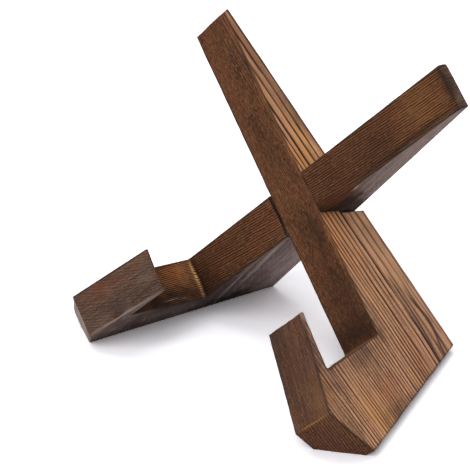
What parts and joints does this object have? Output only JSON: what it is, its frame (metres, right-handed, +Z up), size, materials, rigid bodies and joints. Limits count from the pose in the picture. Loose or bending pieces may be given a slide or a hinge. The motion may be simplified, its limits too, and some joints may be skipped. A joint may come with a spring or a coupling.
{
  "type": "cookbook stand",
  "caption": "Crossed cookbook stand: mirror-image wooden boards half-lapped into a leaning X, with hooked seats that hold an open book.",
  "frame": {"origin": "on the table under the middle of the stand's bounding box", "axes": "+X to the right as the reader faces the stand, +Y to the back, +Z up"},
  "size_m": [0.1738, 0.1004, 0.1316],
  "materials": {
    "scorched_softwood": "softwood scorched dark brown, brushed so that the grain stands proud, matt with a low wax sheen"
  },
  "bodies": {
    "left_board": {"left_hook_board": "scorched_softwood"},
    "right_board": {"right_hook_board": "scorched_softwood"}
  },
  "joints": [
    {"name": "lap_slide", "type": "slide", "parent": "left_board", "child": "right_board", "axis": [0, -0.9563, 0.2924], "range_m": [0, 0.04]}
  ]
}
